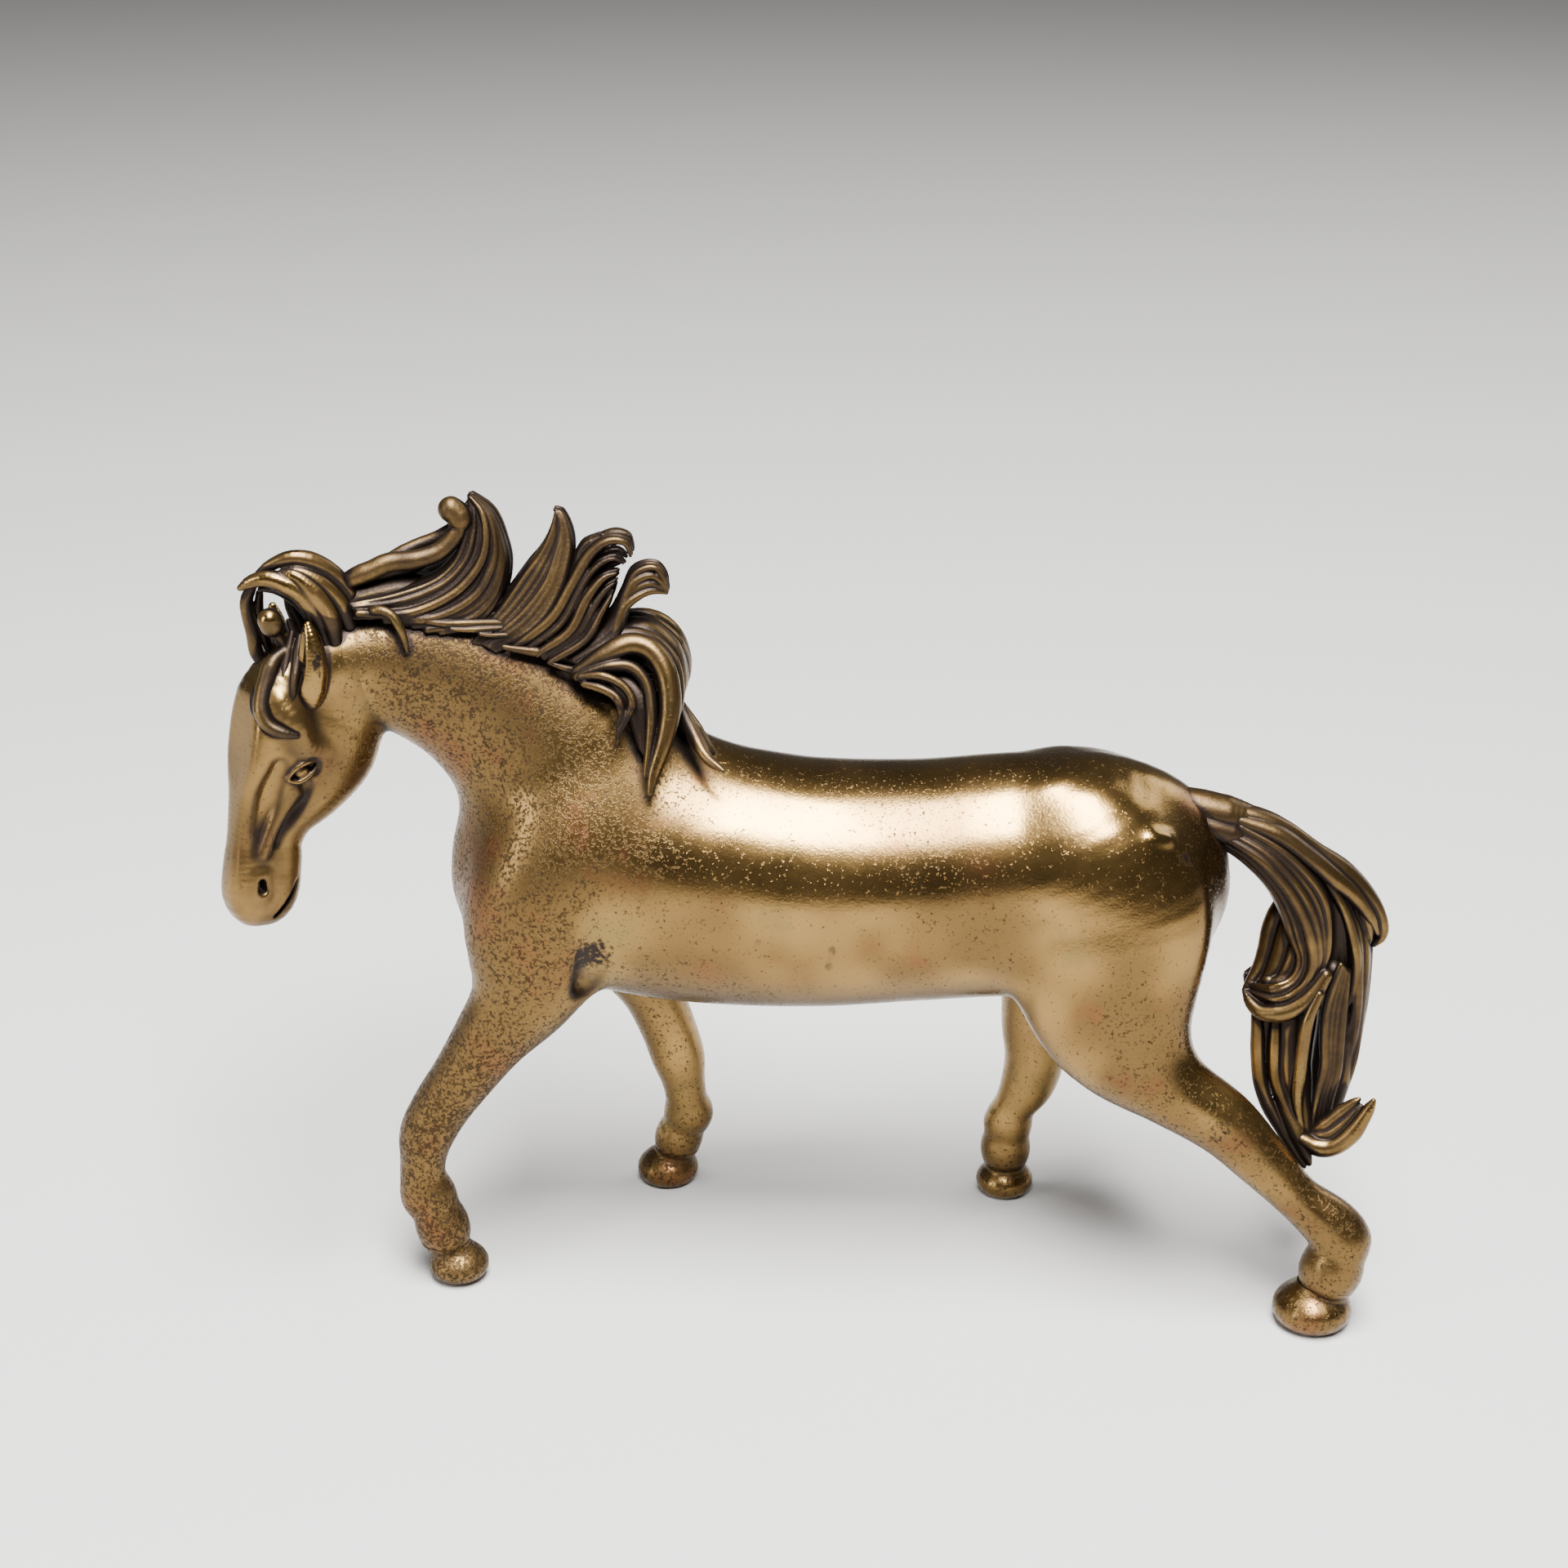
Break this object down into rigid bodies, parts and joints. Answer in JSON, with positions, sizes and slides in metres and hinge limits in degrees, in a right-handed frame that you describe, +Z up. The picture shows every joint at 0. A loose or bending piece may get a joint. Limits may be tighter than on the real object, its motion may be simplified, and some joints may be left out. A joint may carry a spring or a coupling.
{
  "type": "horse statuette",
  "caption": "Small solid cast bronze horse, walking with its head turned to one side and its mane and tail blowing; stands freely as a desk ornament.",
  "frame": {"origin": "under the middle of the overall box, on the plane that the four hooves stand on", "axes": "-X is the way the horse faces, -Y is its left side, +Z is up"},
  "size_m": [0.071, 0.02, 0.0511],
  "materials": {
    "polished_bronze": "polished antique brass with fine dark pitting",
    "antiqued_bronze": "polished ridges with dark patina in the grooves"
  },
  "bodies": {
    "root": {"torso": "polished_bronze", "neck": "polished_bronze", "head": "polished_bronze", "left_ear": "polished_bronze", "right_ear": "polished_bronze", "left_foreleg": "polished_bronze", "right_foreleg": "polished_bronze", "left_hind_leg": "polished_bronze", "right_hind_leg": "polished_bronze", "left_fore_hoof": "polished_bronze", "right_fore_hoof": "polished_bronze", "left_hind_hoof": "polished_bronze", "right_hind_hoof": "polished_bronze", "forelock_crown_lock": "antiqued_bronze", "forelock_arch_lock": "antiqued_bronze", "forelock_side_wisp": "antiqued_bronze", "forelock_curl": "antiqued_bronze", "forelock_brow_lock": "antiqued_bronze", "mane_crest": "antiqued_bronze", "mane_poll_lock": "antiqued_bronze", "mane_front_curl": "antiqued_bronze", "mane_spire": "antiqued_bronze", "mane_rear_curl": "antiqued_bronze", "mane_flick": "antiqued_bronze", "mane_withers_lock": "antiqued_bronze", "mane_inner_wisp": "antiqued_bronze", "mane_end_lock": "antiqued_bronze", "mane_neck_wisp": "antiqued_bronze", "tail_dock": "antiqued_bronze", "tail_top_lock": "antiqued_bronze", "tail_inner_lock": "antiqued_bronze", "tail_back_lock": "antiqued_bronze", "tail_far_lock": "antiqued_bronze", "tail_lower_lock": "antiqued_bronze", "tail_middle_lock": "antiqued_bronze", "tail_tip_curl": "antiqued_bronze"}
  },
  "joints": []
}
